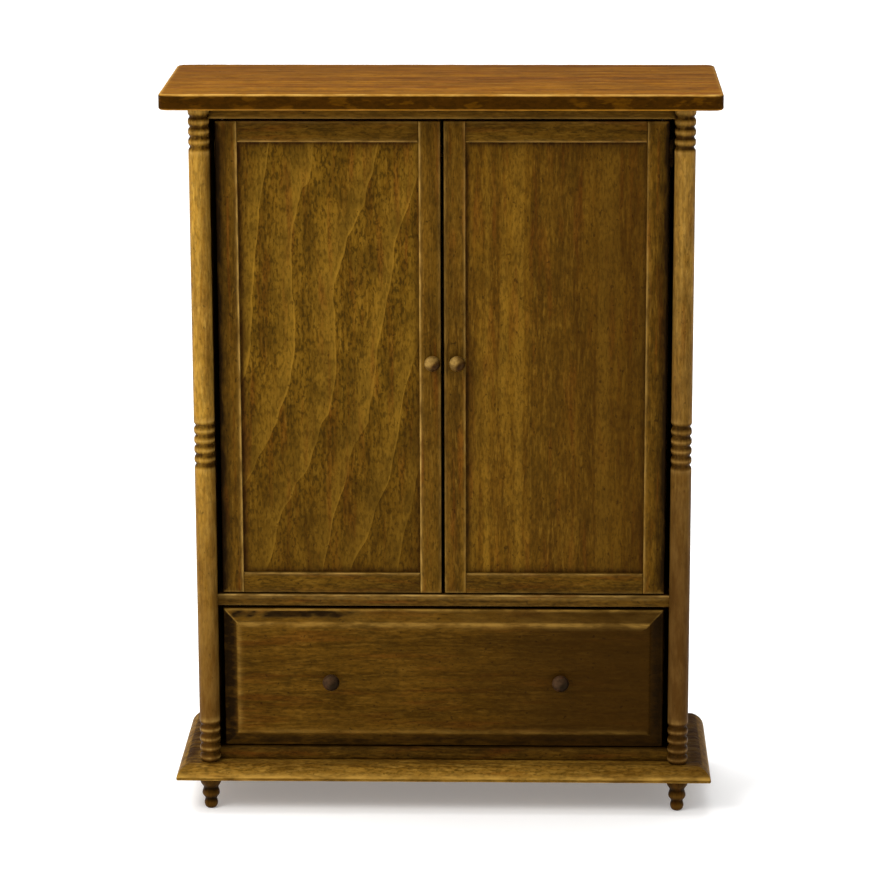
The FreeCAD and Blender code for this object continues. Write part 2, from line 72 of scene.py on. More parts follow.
# ---- materials ----
GRAIN_STRIDES = (37.0, 53.0, 71.0)   # from one piece's place in the grain to the next one's
VARNISH_TINT = (1.0, 0.72, 0.36, 1.0)
VARNISH_IOR = 1.45
STAIN_LIMIT = 1.6              # over 1, stain and painted shade cover even where the wood takes stain least, and hide wear and highlight

# ---- boards ----
EDGE_STEP = 2.0                # between points along an arris
ARC_STEPS = 4                  # round a worn arris
ARC_AWAY = (0.05, 0.0, 0.03, 0.14, 0.34)   # how far each of those counts as being from the arris
WIDEST_ARRIS = 0.45            # as a share of the board's thickness
CORNER_STEPS = 3               # round a corner in plan
CORNER_POINTS = (0.35, 0.9)    # extra points beside each corner
FADES = (0.12, 0.4, 1.0, 2.2, 4.5)   # rings inside an arris, where wear and stain fade out
EDGE_ROWS = (0.15, 0.5, 0.85)  # rings on the edge between two arrises, as shares of its height
WEAR_REACH = 0.16
STAIN_REACH = 1.3
NICK_SPACING = 2.6
NICK_SEED_STRIDE = 17.3        # from one piece's place in the nicks to the next one's
SMOOTH_BOARD = 38.0            # degrees, the sharpest bend that is shaded as a curve
SMOOTH_TURNING = 50.0
MERGE_DISTANCE = 0.004
SLIVER_LENGTH = 0.001

# ---- turned pieces ----
SHAFT_STEPS = 24
SHAFT_UNEVEN = 0.035
SHAFT_WAVE = 7.0               # length of the unevenness along a shaft
FLAT_STEPS = 6                 # across the flat at the back of a column
RAIL_STEPS = 40
RAIL_END = 3.0                 # from each end of the hanging rail to its plain length
RAIL_STAINED = 2.2             # length of the stain at each end

# ---- sizes that follow the CAD source ----
FRAME_TONGUE = 1.2
PANEL_THICKNESS = 1.2
GROOVE_PITCH = 2.36
GROOVE_DEPTH = 0.42
GROOVE_GROUPS = ((2.3, 4), (74.55, 5), (150.85, 4))
COLUMN_X = 56.7
COLUMN_Y = -13.55
COLUMN_FOOT_R = 2.4
CASE_FRONT_Y = -12.3
CASE_HALF_WIDTH = 58.0
FOOT_HEIGHT = 8.4
BASE_THICKNESS = 3.6
BASE_TOP_Z = FOOT_HEIGHT + BASE_THICKNESS
MOULD_WIDTH = 3.1
MOULD_DROP = 2.7
MOULD_START_SLOPE = math.radians(12.0)
MOULD_STEPS = 12
DRAWER_FRONT_THICKNESS = 3.6
DRAWER_TOP_Z = 49.9
FIELD_INSET = 3.0              # the drawer's raised field starts a little further in than this
MITRE_INSETS = (0.3, 3.45)     # from and to, of the sloping lines at the drawer front's corners


# ---------------------------------------------------------------- colours
def linear(value):
    """One 0-255 screen value as linear light."""
    value /= 255.0
    return value / 12.92 if value <= 0.04045 else ((value + 0.055) / 1.055) ** 2.4


def tone(colour, factor=1.0):
    """A colour of three 0-255 screen values, each times factor, as linear light."""
    return (*[linear(value * factor) for value in colour], 1.0)


def ramp(value, start, stop):
    """0 up to start, rising to 1 at stop."""
    return min(1.0, max(0.0, (value - start) / (stop - start)))


# ---------------------------------------------------------------- materials
class Graph:
    """A material's node tree, with one short call for each kind of node."""

    def __init__(self, name):
        self.material = bpy.data.materials.new(name)
        self.material.use_nodes = True
        self.nodes = self.material.node_tree.nodes
        self.links = self.material.node_tree.links
        self.shader = self.nodes["Principled BSDF"]
        self.moved = None

    def feed(self, socket, value):
        if isinstance(value, bpy.types.NodeSocket):
            self.links.new(value, socket)
        elif value is not None:
            socket.default_value = value

    def attribute(self, name):
        node = self.nodes.new("ShaderNodeAttribute")
        node.attribute_name = name
        return node.outputs["Fac"]

    def math(self, operation, first, second=None, clamp=False):
        node = self.nodes.new("ShaderNodeMath")
        node.operation = operation
        node.use_clamp = clamp
        self.feed(node.inputs[0], first)
        self.feed(node.inputs[1], second)
        return node.outputs[0]

    def place(self):
        """Object coordinates in millimetres, shifted so that no grain runs on from piece to piece."""
        if self.moved is None:
            coordinates = self.nodes.new("ShaderNodeTexCoord")
            shift = self.nodes.new("ShaderNodeVectorMath")
            shift.operation = "MULTIPLY_ADD"
            combine = self.nodes.new("ShaderNodeCombineXYZ")
            board = self.attribute("board")
            for axis, stride in enumerate(GRAIN_STRIDES):
                self.feed(combine.inputs[axis], self.math("MULTIPLY", board, stride))
            self.feed(shift.inputs[0], coordinates.outputs["Object"])
            shift.inputs[1].default_value = (1 / MM, 1 / MM, 1 / MM)
            self.feed(shift.inputs[2], combine.outputs[0])
            self.moved = shift.outputs[0]
        return self.moved

    def coordinate(self, axis):
        """One of the object coordinates, in metres."""
        split = self.nodes.new("ShaderNodeSeparateXYZ")
        coordinates = self.nodes.new("ShaderNodeTexCoord")
        self.feed(split.inputs[0], coordinates.outputs["Object"])
        return split.outputs["XYZ".index(axis)]

    def stretched(self, along, length):
        """The place with one axis squeezed, so that a texture runs `length` times longer along it."""
        node = self.nodes.new("ShaderNodeMapping")
        scale = [1.0, 1.0, 1.0]
        scale["XYZ".index(along)] = 1.0 / length
        node.inputs["Scale"].default_value = scale
        self.feed(node.inputs["Vector"], self.place())
        return node.outputs[0]

    def noise(self, where, scale, detail=3.0, roughness=0.55, distortion=0.0):
        node = self.nodes.new("ShaderNodeTexNoise")
        self.feed(node.inputs["Vector"], where)
        node.inputs["Scale"].default_value = scale
        node.inputs["Detail"].default_value = detail
        node.inputs["Roughness"].default_value = roughness
        node.inputs["Distortion"].default_value = distortion
        return node.outputs["Fac"]

    def step(self, value, low, high, bottom=0.0, top=1.0):
        """A soft step from bottom to top as value goes from low to high."""
        node = self.nodes.new("ShaderNodeMapRange")
        node.interpolation_type = "SMOOTHSTEP"
        self.feed(node.inputs["Value"], value)
        for name, number in (("From Min", low), ("From Max", high), ("To Min", bottom), ("To Max", top)):
            node.inputs[name].default_value = number
        return node.outputs["Result"]

    def mix(self, amount, first, second):
        """The first colour where amount is 0, and the second where it is 1."""
        node = self.nodes.new("ShaderNodeMix")
        node.data_type = "RGBA"
        colour_inputs = [socket for socket in node.inputs if socket.type == "RGBA"]
        self.feed(node.inputs["Factor"], amount)
        self.feed(colour_inputs[0], first)
        self.feed(colour_inputs[1], second)
        return next(socket for socket in node.outputs if socket.type == "RGBA")

    def bump(self, height, distance, strength):
        node = self.nodes.new("ShaderNodeBump")
        node.inputs["Distance"].default_value = distance * MM
        node.inputs["Strength"].default_value = strength
        self.feed(node.inputs["Height"], height)
        return node.outputs[0]


def grain_layers(g, along, straight):
    """The noises that the look of a wood is made of, each as long and as coarse as its mark."""
    return {
        "bands": g.noise(g.stretched(along, 14.0 * straight), 0.34, 4.0, 0.62, 0.5 / straight),
        "grain": g.noise(g.stretched(along, 8.0 * straight), 1.7, 4.0, 0.62),
        "reds": g.noise(g.stretched(along, 12.0 * straight), 0.55, 2.0, 0.5, 0.2),
        "pores": g.noise(g.stretched(along, 7.0), 3.4, 2.0, 0.5),
        "flakes": g.noise(g.stretched(along, 2.4), 1.5, 2.0, 0.6, 0.3),
        "clouds": g.noise(g.stretched(along, 1.7), 0.20, 4.0, 0.62, 0.5),
        "pits": g.noise(g.stretched(along, 1.5), 1.1, 1.0, 0.5),
        "patches": g.noise(g.stretched(along, 3.0), 0.45, 3.0, 0.62),
    }


def growth_stripes(g, colour, along, amount, deep, pale):
    """Broad stripes of early and late growth, paler and darker than the rest."""
    growth = g.noise(g.stretched(along, 40.0), 0.17, 2.0, 0.55, 0.1)
    colour = g.mix(g.step(growth, 0.50, 0.62, 0.0, amount), colour, tone(pale))
    return g.mix(g.step(growth, 0.36, 0.47, amount, 0.0), colour, tone(deep, 0.8))


def stain_shade_wear_and_highlight(g, colour, layers, dirt_and_shade, worn_and_highlit):
    """Stain and painted shade gathered in corners, and over it the bare wood of rubbed arrises and painted
    highlights where the stain is thin.
    """
    stain_and_shade = g.attribute("stain_and_shade")
    taken = g.step(layers["patches"], 0.36, 0.62, 0.55, 1.0)
    grime_and_shade = g.mix(g.step(layers["flakes"], 0.42, 0.62, 0.0, 0.5), tone(dirt_and_shade, 1.12), tone(dirt_and_shade, 0.7))
    colour = g.mix(g.math("MULTIPLY", stain_and_shade, taken, True), colour, grime_and_shade)
    held = g.step(layers["patches"], 0.34, 0.66, 1.0, 0.30)
    rubbed_and_highlit = g.math("MULTIPLY", g.attribute("wear_and_highlight"), held, True)
    rubbed_and_highlit = g.math("MULTIPLY", rubbed_and_highlit, g.step(layers["grain"], 0.30, 0.52, 0.55, 1.0))
    rubbed_and_highlit = g.math("MULTIPLY", rubbed_and_highlit, g.step(stain_and_shade, 1.0, STAIN_LIMIT, 1.0, 0.0))
    return g.mix(rubbed_and_highlit, colour, tone(worn_and_highlit))


def varnish(g, layers, gloss, shine, bump):
    """The shader's own values, and the fine relief of pores and grain under the varnish."""
    roughness = g.step(layers["grain"], 0.3, 0.75, gloss + 0.10, gloss - 0.06)
    g.feed(g.shader.inputs["Roughness"], roughness)
    pore_depth = g.step(layers["pores"], 0.53, 0.70, 0.0, 0.5)
    height = g.math("SUBTRACT", g.math("MULTIPLY", layers["grain"], 0.7), pore_depth)
    height = g.math("ADD", height, g.math("MULTIPLY", layers["clouds"], 0.8))
    g.feed(g.shader.inputs["Normal"], g.bump(height, 0.09, bump))
    g.shader.inputs["IOR"].default_value = VARNISH_IOR
    g.shader.inputs["Specular IOR Level"].default_value = shine
    g.shader.inputs["Specular Tint"].default_value = VARNISH_TINT


def wood(name, along, deep, mid, pale, worn_and_highlit, dirt_and_shade=(24, 13, 3), red=(104, 50, 12), red_amount=0.25,
         fleck=0.3, mottle=0.35, pores=0.4, gloss=0.45, contours=False, shade_gradient=None, shine=0.05,
         bump=0.5, straight=1.0, stripes=0.0):
    """Stained and varnished wood with its grain along one axis.

    deep, mid and pale are the grain's tones, worn_and_highlit is the bare wood of rubbed arrises and of
    painted highlights, and dirt_and_shade is the stain left in corners and the colour of painted shade; the
    other numbers say how strong each kind of mark is. shade_gradient is (axis, from, to, amount) for
    painted shade that darkens the wood towards one end, straight is how much longer than usual the
    streaks are and stripes is the strength of broad stripes of growth. Each step gives the range of a
    noise over which a mark comes in, and the amount at each end of that range.
    """
    g = Graph(name)
    layers = grain_layers(g, along, straight)
    dark = tone(deep, 0.5)
    colour = g.mix(g.step(layers["bands"], 0.36, 0.62), tone(deep), tone(mid))
    if stripes:
        colour = growth_stripes(g, colour, along, stripes, deep, pale)
    flecks = g.step(layers["flakes"], 0.46, 0.64, 0.0, fleck)
    if contours:
        phase, edge = contour_lines(g)
        colour = g.mix(g.step(phase, 0.3, 1.0, 0.0, 0.55), colour, tone(pale))
        flecks = g.math("MULTIPLY", flecks, g.step(phase, 0.2, 1.0, 1.3, 0.7))
    colour = g.mix(g.step(layers["grain"], 0.45, 0.74, 0.0, 0.7), colour, tone(pale))
    colour = g.mix(g.step(layers["reds"], 0.52, 0.72, 0.0, red_amount), colour, tone(red))
    colour = g.mix(g.step(layers["flakes"], 0.30, 0.48, fleck * 0.45, 0.0), colour, tone(pale))
    colour = g.mix(g.step(layers["pores"], 0.53, 0.70, 0.0, pores), colour, dark)
    colour = g.mix(flecks, colour, dark)
    if contours:
        colour = g.mix(edge, colour, tone(pale, 1.12))
    colour = g.mix(g.step(layers["clouds"], 0.32, 0.64, mottle, 0.0), colour, dark)
    # Painted shade: the wood darkens towards one end.
    if shade_gradient:
        axis, start, stop, amount = shade_gradient
        shade_amount = g.step(g.coordinate(axis), start * MM, stop * MM, 0.0, amount)
        shade_tone = (deep[0] * 0.62, deep[1] * 0.54, deep[2] * 0.45)
        colour = g.mix(shade_amount, colour, tone(shade_tone))
    colour = g.mix(g.step(layers["pits"], 0.70, 0.75, 0.0, 0.55), colour, tone(dirt_and_shade))
    colour = stain_shade_wear_and_highlight(g, colour, layers, dirt_and_shade, worn_and_highlit)
    g.feed(g.shader.inputs["Base Color"], colour)
    varnish(g, layers, gloss, shine, bump)
    return g.material


def contour_lines(g):
    """Leaning lines where the growth rings come out of a flat-sawn panel.

    Gives the share of the way from one line to the next, left to right, and a thin line at each.
    """
    spacing, lean, sway = 11.0, -0.25, 24.0
    keep_positive = 500.0
    wander = g.noise(g.stretched("Z", 2.2), 0.040, 4.0, 0.42, 0.2)
    split = g.nodes.new("ShaderNodeSeparateXYZ")
    g.feed(split.inputs[0], g.place())
    leaning = g.math("MULTIPLY_ADD", split.outputs["Z"], lean)
    leaning.node.inputs[2].default_value = keep_positive
    across = g.math("ADD", split.outputs["X"], leaning)
    across = g.math("ADD", across, g.math("MULTIPLY", wander, sway))
    phase = g.math("FRACT", g.math("DIVIDE", across, spacing))
    broken = g.noise(g.stretched("Z", 2.0), 0.12, 2.0, 0.5)
    line = g.step(phase, 0.94, 0.985, 0.0, 0.6)
    return phase, g.math("MULTIPLY", line, g.step(broken, 0.38, 0.6, 0.3, 1.0))


def steel(name):
    """Cut wire gone dark, with drawing lines along its length and tarnish."""
    g = Graph(name)
    lines = g.noise(g.stretched("Z", 20.0), 6.0, 3.0, 0.6)
    tarnish = g.noise(g.stretched("Z", 2.0), 0.9, 3.0, 0.6)
    colour = g.mix(g.step(tarnish, 0.4, 0.7), tone((60, 50, 38)), tone((38, 30, 20)))
    colour = g.mix(g.step(lines, 0.4, 0.7, 0.0, 0.5), colour, tone((50, 42, 32)))
    g.feed(g.shader.inputs["Base Color"], colour)
    g.shader.inputs["Metallic"].default_value = 1.0
    g.feed(g.shader.inputs["Roughness"], g.step(lines, 0.3, 0.7, 0.30, 0.48))
    g.feed(g.shader.inputs["Normal"], g.bump(lines, 0.02, 0.4))
    return g.material


def floor_material():
    """Pale matt card, very slightly uneven, on a dim light table."""
    g = Graph("pale_floor")
    cloud = g.noise(g.stretched("Z", 1.0), 0.02, 3.0, 0.5)
    colour = g.mix(g.step(cloud, 0.3, 0.7), (0.93, 0.93, 0.93, 1.0), (0.90, 0.90, 0.90, 1.0))
    g.feed(g.shader.inputs["Base Color"], colour)
    g.shader.inputs["Roughness"].default_value = 0.9
    g.shader.inputs["Specular IOR Level"].default_value = 0.1
    g.shader.inputs["Emission Color"].default_value = (1.0, 1.0, 1.0, 1.0)
    g.shader.inputs["Emission Strength"].default_value = FLOOR_GLOW
    return g.material


# ---------------------------------------------------------------- meshes
def body_of(node):
    for body in ("left_door", "right_door", "drawer"):
        if node.startswith(body):
            return body
    return "case"


Corner = namedtuple("Corner", "x y z")


def extent(node):
    """The lowest and highest corner of a CAD node."""
    return [Corner(*[c / MM for c in end]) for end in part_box(node)]


pieces_made = []


def finish_piece(node, material, points, faces, smooth=SMOOTH_BOARD):
    """Turn points (x, y, z, wear and highlight, stain and shade) in mm and faces into the piece that stands
    for a node.
    """
    mesh = bpy.data.meshes.new(node + "_wood")
    work = bmesh.new()
    wear_and_highlight_layer = work.verts.layers.float.new("wear_and_highlight")
    stain_and_shade_layer = work.verts.layers.float.new("stain_and_shade")
    board_layer = work.verts.layers.float.new("board")
    number = float(len(pieces_made) + 1)
    made = []
    for x, y, z, wear_and_highlight, stain_and_shade in points:
        vertex = work.verts.new((x * MM, y * MM, z * MM))
        vertex[wear_and_highlight_layer] = wear_and_highlight
        vertex[stain_and_shade_layer] = stain_and_shade
        vertex[board_layer] = number
        made.append(vertex)
    for face in faces:
        work.faces.new([made[i] for i in face])
    bmesh.ops.remove_doubles(work, verts=work.verts, dist=MERGE_DISTANCE * MM)
    bmesh.ops.dissolve_degenerate(work, edges=work.edges, dist=SLIVER_LENGTH * MM)
    bmesh.ops.recalc_face_normals(work, faces=work.faces)
    for face in work.faces:
        face.smooth = True
    work.to_mesh(mesh)
    work.free()
    mesh.set_sharp_from_angle(angle=math.radians(smooth))
    mesh.materials.append(material)
    piece = bpy.data.objects.new(node + "_wood", mesh)
    bpy.context.scene.collection.objects.link(piece)
    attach(piece, body_of(node))
    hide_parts(node)
    pieces_made.append(piece)


def ring_faces(ring_count, ring_length):
    """Quads between each ring and the next."""
    faces = []
    for ring in range(ring_count - 1):
        here, there = ring * ring_length, (ring + 1) * ring_length
        for i in range(ring_length):
            after = (i + 1) % ring_length
            faces.append((here + i, here + after, there + after, there + i))
    return faces


def oblong(low, high, corner, counts):
    """Points round a rectangle with rounded corners: (u, v, share of each side, number of the corner).

    The sides are in the order +u, +v, -u, -v, and the corners start at +u -v and go the same way round.
    """
    (u0, v0), (u1, v1) = low, high
    corner = max(0.0, min(corner, (u1 - u0) / 2, (v1 - v0) / 2))
    centres = ((u1 - corner, v0 + corner), (u1 - corner, v1 - corner),
               (u0 + corner, v1 - corner), (u0 + corner, v0 + corner))
    points = []
    for k, (cu, cv) in enumerate(centres):
        before, after = (k - 1) % 4, k
        for i in range(CORNER_STEPS + 1):
            part = i / CORNER_STEPS
            angle = math.radians(90.0 * (k - 1 + part))
            share = [0.0] * 4
            share[before], share[after] = 1.0 - part, part
            points.append((cu + corner * math.cos(angle), cv + corner * math.sin(angle), share, k))
        start = points[-1]
        next_cu, next_cv = centres[(k + 1) % 4]
        angle = math.radians(90.0 * k)
        end_u, end_v = next_cu + corner * math.cos(angle), next_cv + corner * math.sin(angle)
        share = [0.0] * 4
        share[after] = 1.0
        length = math.hypot(end_u - start[0], end_v - start[1])
        count = counts[k % 2]
        near = [min(gap, length * 0.2 * gap) / max(length, 1e-6) for gap in CORNER_POINTS]
        first, last = near[-1], 1.0 - near[-1]
        parts = near + [first + (last - first) * i / count for i in range(1, count)]
        parts += [1.0 - part for part in reversed(near)]
        for part in parts:
            u = start[0] + (end_u - start[0]) * part
            v = start[1] + (end_v - start[1]) * part
            points.append((u, v, share, None))
    return points


def arris_rows(thickness, radius, half):
    """(inset, height, distance to the arris) from the middle of one face over the edge to the other."""
    fades = [radius + fade for fade in FADES if radius + fade < half - 0.05]
    rows = [(half, 0.0, half)]
    rows += [(inset, 0.0, inset - radius) for inset in reversed(fades)]
    for i in range(ARC_STEPS + 1):
        angle = math.radians(90.0 * i / ARC_STEPS)
        rows.append((radius * (1 - math.sin(angle)), radius * (1 - math.cos(angle)), ARC_AWAY[i]))
    side = thickness - 2 * radius
    if side > 0.2:
        for part in EDGE_ROWS:
            rows.append((0.0, radius + side * part, side * min(part, 1 - part)))
    upper = [(inset, thickness - height, away) for inset, height, away in rows[:len(fades) + ARC_STEPS + 2]]
    return rows + upper[::-1]


def board(node, thin, material, radius=0.2, corner=0.15, sides=(1.0, 1.0, 1.0, 1.0), faces=(1.0, 1.0),
          stains_and_shade=(0.0, 0.0, 0.0, 0.0), nick=0.06, shrink=(0.0, 0.0), rows=None, extra=None, edge_stain=0.0,
          mitres=None):
    """A board whose thin axis is 0, 1 or 2, with worn and slightly uneven arrises.

    sides and faces say how worn each is, painted highlight included, in the order +u, +v, -u, -v and
    low, high, where low is the back face of an upright board that faces the front. stains_and_shade
    darkens the edges the same way, with stain and with painted shade. sides may also be a function of
    the inset. rows replaces the plain edge by rows of (inset, height, wear and highlight, stain and
    shade), with another inset for the rear side if that is different. edge_stain is for the whole edge
    between the two arrises, extra(x, y, z) adds stain and painted shade anywhere, and mitres is how
    rubbed the sloping line at each corner of a bevel is.
    """
    low, high = extent(node)
    across = [axis for axis in range(3) if axis != thin]
    u0, v0 = low[across[0]] + shrink[0], low[across[1]] + shrink[1]
    u1, v1 = high[across[0]] - shrink[0], high[across[1]] - shrink[1]
    thickness = high[thin] - low[thin]
    half = min(u1 - u0, v1 - v0) / 2
    middle = thickness / 2
    counts = [max(4, round(length / EDGE_STEP)) for length in (v1 - v0, u1 - u0)]
    if rows is None:
        edge = []
        for inset, height, away in arris_rows(thickness, min(radius, thickness * WIDEST_ARRIS), half):
            worn_here = math.exp(-away / WEAR_REACH)
            face_weight = faces[0] if height < middle else faces[1]
            edge.append((inset, height, worn_here * face_weight, math.exp(-away / STAIN_REACH), inset))
    else:
        edge = [row if len(row) == 5 else row + (row[0],) for row in rows]
    points = []
    seed = len(pieces_made) * NICK_SEED_STRIDE
    for inset, height, wear_and_highlight, stain_and_shade, rear_inset in edge:
        ring = oblong((u0 + inset, v0 + inset), (u1 - inset, v1 - rear_inset), corner - inset, counts)
        weights = sides(inset) if callable(sides) else sides
        for u, v, share, turn in ring:
            worn_and_highlit = sum(a * b for a, b in zip(share, weights)) * wear_and_highlight
            on_mitre = turn is not None and MITRE_INSETS[0] < inset < MITRE_INSETS[1]
            if mitres and on_mitre and height > middle:
                worn_and_highlit = max(worn_and_highlit, mitres[turn])
            dirt_and_shade = sum(a * b for a, b in zip(share, stains_and_shade)) * stain_and_shade
            dirt_and_shade += edge_stain * (rows is None and inset == 0.0)
            dent = 0.5 + 0.5 * noise.noise(Vector((u, v, height + seed)) / NICK_SPACING)
            dent *= nick * min(1.0, max(wear_and_highlight, 0.0)) * (1.0 if inset < half - 0.01 else 0.0)
            u += dent * ((u0 + u1) / 2 > u) - dent * ((u0 + u1) / 2 < u)
            v += dent * ((v0 + v1) / 2 > v) - dent * ((v0 + v1) / 2 < v)
            h = height + (dent if height < middle else -dent)
            place = [0.0, 0.0, 0.0]
            place[across[0]], place[across[1]] = u, v
            place[thin] = high[1] - h if thin == 1 else low[thin] + h
            if extra:
                dirt_and_shade += extra(*place)
            points.append((*place, worn_and_highlit, min(STAIN_LIMIT, dirt_and_shade)))
    finish_piece(node, material, points, ring_faces(len(edge), len(ring)))


def flattened(radius, flat, segments):
    """Points round a circle whose back is planed off at `flat` behind its middle."""
    edge = math.asin(flat / radius)
    arc = segments - FLAT_STEPS + 1
    angles = [math.pi - edge + (math.pi + 2 * edge) * i / (arc - 1) for i in range(arc)]
    half_chord = radius * math.cos(edge)
    spots = [(radius * math.cos(a), radius * math.sin(a)) for a in angles]
    return spots + [(half_chord * (1 - 2 * i / FLAT_STEPS), flat) for i in range(1, FLAT_STEPS)]


def lathe(node, material, rows, start, axis, segments=40, flat=None, lit_and_shaded=None):
    """A turned piece: rows of (distance along the axis, radius, wear and highlight, stain and shade).

    flat is how far behind the axis a turning is planed off. lit_and_shaded(s, t) gives painted highlight
    and painted shade for a direction round the axis, where s is to the right.
    """
    circle = [2 * math.pi * i / segments for i in range(segments)]
    points = []
    axis = Vector(axis)
    right = Vector((1.0, 0.0, 0.0)) if abs(axis.x) < 0.5 else Vector((0.0, 1.0, 0.0))
    back = axis.cross(right)
    for along, radius, wear_and_highlight, stain_and_shade in rows:
        here = Vector(start) + axis * along
        if flat is not None and radius > flat:
            spots = flattened(radius, flat, segments)
        else:
            spots = [(radius * math.cos(a), radius * math.sin(a)) for a in circle]
        for s, t in spots:
            spot = here + right * s + back * t
            painted_highlight, painted_shade = 0.0, 0.0
            if lit_and_shaded and radius > 0.0:
                painted_highlight, painted_shade = lit_and_shaded(s / radius, t / radius)
            points.append((spot.x, spot.y, spot.z, wear_and_highlight + painted_highlight, stain_and_shade + painted_shade))
    finish_piece(node, material, points, ring_faces(len(rows), segments), SMOOTH_TURNING)


def smooth_rows(rows, steps):
    """More rows between these, on a curve through them (Catmull-Rom)."""
    fine = []
    for i in range(len(rows) - 1):
        p0, p1, p2, p3 = (rows[max(0, min(len(rows) - 1, i + k))] for k in (-1, 0, 1, 2))
        for j in range(steps):
            t = j / steps
            fine.append(tuple(
                0.5 * (2 * b + (c - a) * t + (2 * a - 5 * b + 4 * c - d) * t * t
                       + (3 * b - a - 3 * c + d) * t ** 3)
                for a, b, c, d in zip(p0, p1, p2, p3)))
    return fine + [rows[-1]]


# ---------------------------------------------------------------- the pieces' edges
def base_rows(half):
    """The base board's edge: flat below, a short upright edge and a rounded moulding above.

    The last value of a row is its inset from the rear side, which has no moulding.
    """
    rows = [(half, 0.0, 0.0, 0.0, half), (4.0, 0.0, 0.0, 0.0, 4.0), (0.9, 0.0, 0.1, 0.0, 0.9)]
    rows += [(0.25, 0.0, 0.5, 0.0, 0.25), (0.07, 0.07, 0.8, 0.1, 0.07), (0.0, 0.25, 0.5, 0.4, 0.0)]
    rows += [(0.0, 0.45, 0.1, 0.7, 0.0), (0.0, 0.68, 0.2, 0.5, 0.0), (0.03, 0.82, 0.9, 0.0, 0.0)]
    end_slope = 2 * math.atan2(MOULD_DROP, MOULD_WIDTH) - MOULD_START_SLOPE
    swing = math.sin(end_slope) - math.sin(MOULD_START_SLOPE)
    curve_radius = MOULD_WIDTH / swing
    top_wear = (1.0, 0.75, 0.35, 0.15, 0.05)
    for i in range(MOULD_STEPS + 1):
        slope = end_slope + (MOULD_START_SLOPE - end_slope) * i / MOULD_STEPS
        inset = MOULD_WIDTH - curve_radius * (math.sin(slope) - math.sin(MOULD_START_SLOPE))
        height = BASE_THICKNESS + curve_radius * (math.cos(slope) - math.cos(MOULD_START_SLOPE))
        wear_and_highlight = top_wear[i] if i < len(top_wear) else 0.0
        lip = 0.05 if i == 0 else 0.0
        rows.append((inset + lip, height, wear_and_highlight, 0.0, 0.0))
    flat = ((3.5, 0.0), (4.4, 0.4), (5.4, 0.9), (6.1, 1.5), (6.6, 2.0), (7.4, 3.0), (half, half))
    return rows + [(inset, BASE_THICKNESS, 0.0, 0.0, rear) for inset, rear in flat]


def base_stain_and_contact_shade(x, y, z):
    """Dark stain and painted contact shade where the case and the columns stand on the base board, and darker
    along its two ends.
    """
    if z < BASE_TOP_Z - 0.5:
        return 0.0
    to_column = min(abs(math.hypot(x - side * COLUMN_X, y - COLUMN_Y) - COLUMN_FOOT_R) for side in (-1, 1))
    nearest = to_column
    if abs(x) < CASE_HALF_WIDTH:
        nearest = min(abs(y - CASE_FRONT_Y), to_column)
    ends = ramp(abs(x), 59.0, 60.5) * ramp(y, -17.0, -14.5)
    return 1.2 * math.exp(-nearest / 0.35) + ends


def panel_rows(half):
    """A door panel: plain tongues in the frame, and stain with painted recess shade gathered round the
    opening on both faces.
    """
    face = [(half, 0.0), (FRAME_TONGUE + 4.0, 0.0), (FRAME_TONGUE + 2.4, 0.08), (FRAME_TONGUE + 1.4, 0.25),
            (FRAME_TONGUE + 0.9, 0.55), (FRAME_TONGUE + 0.5, 0.95), (FRAME_TONGUE, 1.0), (0.05, 1.0)]
    rows = [(inset, 0.0, 0.0, stain_and_shade * 0.6) for inset, stain_and_shade in face]
    rows += [(0.0, 0.05, 0.0, 1.0), (0.0, PANEL_THICKNESS - 0.05, 0.0, 1.0)]
    return rows + [(inset, PANEL_THICKNESS, 0.0, stain_and_shade) for inset, stain_and_shade in reversed(face)]


def drawer_wear_and_highlight(inset):
    """How rubbed the drawer front's sides are, with painted highlight: lip and bevel only along the top,
    where the light falls, and the field's edge most along the top and not on the right.
    """
    return (0.0, 0.6, 0.0, 0.0) if inset < FIELD_INSET else (0.0, 0.56, 0.35, 0.22)


def drawer_rows(half):
    """The drawer front: a thin lip, a dark bevel and a raised field with a rubbed edge."""
    return [
        (half, 0.0, 0.0, 0.0), (1.5, 0.0, 0.0, 0.0), (0.2, 0.0, 0.3, 0.0), (0.06, 0.06, 0.5, 0.2),
        (0.0, 0.2, 0.3, 0.5), (0.0, 1.2, 0.0, 0.9), (0.0, 2.2, 0.0, 0.9), (0.02, 2.42, 0.6, 0.9),
        (0.08, 2.54, 1.0, 0.9), (0.2, 2.6, 0.9, 0.9), (0.4, 2.6, 0.6, 0.9), (0.62, 2.63, 0.3, 1.0),
        (0.9, 2.7, 0.1, 1.0), (1.3, 2.81, 0.12, 1.0), (1.8, 2.94, 0.12, 0.95), (2.4, 3.09, 0.12, 0.75),
        (2.9, 3.22, 0.15, 0.5), (3.1, 3.28, 0.25, 0.35), (3.19, 3.36, 0.6, 0.1), (3.3, 3.48, 0.85, 0.0),
        (3.48, 3.57, 1.0, 0.0), (3.75, DRAWER_FRONT_THICKNESS, 0.9, 0.0),
        (4.1, DRAWER_FRONT_THICKNESS, 0.5, 0.0), (4.6, DRAWER_FRONT_THICKNESS, 0.15, 0.0),
        (5.2, DRAWER_FRONT_THICKNESS, 0.0, 0.0), (6.5, DRAWER_FRONT_THICKNESS, 0.0, 0.0),
        (half, DRAWER_FRONT_THICKNESS, 0.0, 0.0)]


